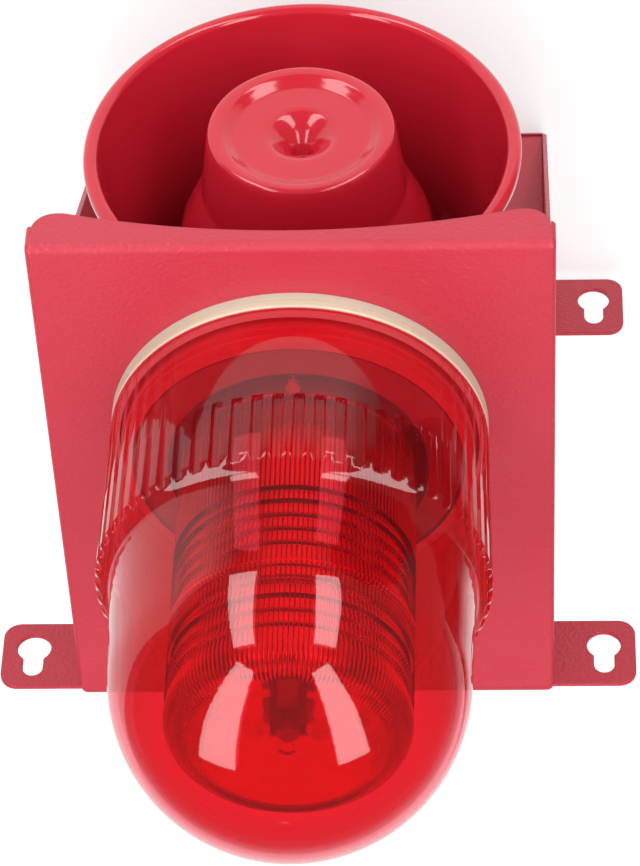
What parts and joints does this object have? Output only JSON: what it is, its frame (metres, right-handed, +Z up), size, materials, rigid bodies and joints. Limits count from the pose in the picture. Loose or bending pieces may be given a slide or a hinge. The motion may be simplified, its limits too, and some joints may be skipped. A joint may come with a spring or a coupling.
{
  "type": "alarm siren",
  "caption": "Wall-mounted alarm siren: red folded-steel bracket housing with a reentrant horn facing forward under a shelf that carries a red ribbed dome beacon.",
  "frame": {"origin": "centre of the back plate's wall face", "axes": "+Z up with the beacon on top, -Y out from the wall towards the horn's listener, +X to the right seen from the front"},
  "size_m": [0.1756, 0.17, 0.2891],
  "materials": {
    "red_paint": "satin powder paint on sheet steel",
    "red_plastic": "gloss ABS",
    "red_lens": "clear red polycarbonate",
    "cream_plastic": "cream ABS",
    "cream_rubber": "cream rubber",
    "rubber": "black rubber",
    "zinc_steel": "zinc plated",
    "dark_plastic": "moulded black",
    "ferrite": "ferrite",
    "film": "phenolic film",
    "copper": "enamelled copper",
    "board": "glass-fibre board with solder resist",
    "led": "moulded LED",
    "coil_tape": "yellow winding tape",
    "capacitor_sleeve": "shrink sleeve",
    "aluminium": "extruded",
    "green_plastic": "moulded green",
    "wire": "PVC insulation"
  },
  "bodies": {
    "housing": {"housing_shell": "red_paint", "box_front": "red_paint", "back_plate": "red_paint", "plate_screws": "zinc_steel", "horn_bell": "red_plastic", "horn_cup": "red_plastic", "throat_tube": "red_plastic", "horn_gasket": "rubber", "horn_screws": "zinc_steel", "horn_nuts": "zinc_steel", "cup_screws": "zinc_steel", "throat_plate": "dark_plastic", "driver_spacer": "dark_plastic", "driver_top_plate": "zinc_steel", "driver_magnet": "ferrite", "driver_yoke": "zinc_steel", "driver_cover": "dark_plastic", "driver_screws": "zinc_steel", "base_gasket": "cream_rubber", "beacon_base": "cream_plastic", "base_screws": "zinc_steel", "fresnel_lens": "red_lens", "lens_screws": "zinc_steel", "led_standoffs": "dark_plastic", "led_board": "board", "led_post": "board", "leds": "led", "circuit_board": "board", "board_standoffs": "zinc_steel", "board_screws": "zinc_steel", "transformer_core": "ferrite", "transformer_coil": "coil_tape", "capacitors": "capacitor_sleeve", "tone_chip": "dark_plastic", "heat_sink": "aluminium", "power_transistor": "dark_plastic", "terminal_block": "green_plastic", "terminal_screws": "zinc_steel", "cable_grommet": "rubber", "wire_grommets": "rubber", "beacon_wires": "wire", "driver_wires": "wire"},
    "seal_ring": {"globe_seal": "rubber"},
    "globe": {"globe": "red_lens"},
    "diaphragm": {"diaphragm": "film", "voice_coil": "copper"}
  },
  "joints": [
    {"name": "globe_lift", "type": "slide", "parent": "housing", "child": "seal_ring", "axis": [0, 0, 1], "range_m": [0, 0.0095]},
    {"name": "globe_turn", "type": "hinge", "parent": "seal_ring", "child": "globe", "pos_m": [0, -0.106, 0.08], "axis": [0, 0, 1], "range_deg": [0, 1080]},
    {"name": "diaphragm_travel", "type": "slide", "parent": "housing", "child": "diaphragm", "axis": [0, -1, 0], "range_m": [-0.0004, 0.0004], "stiffness_N_per_m": 4000}
  ],
  "couplings": [
    {"joint": "globe_lift", "follows": "globe_turn", "m_per_rad": 0.00047746}
  ]
}
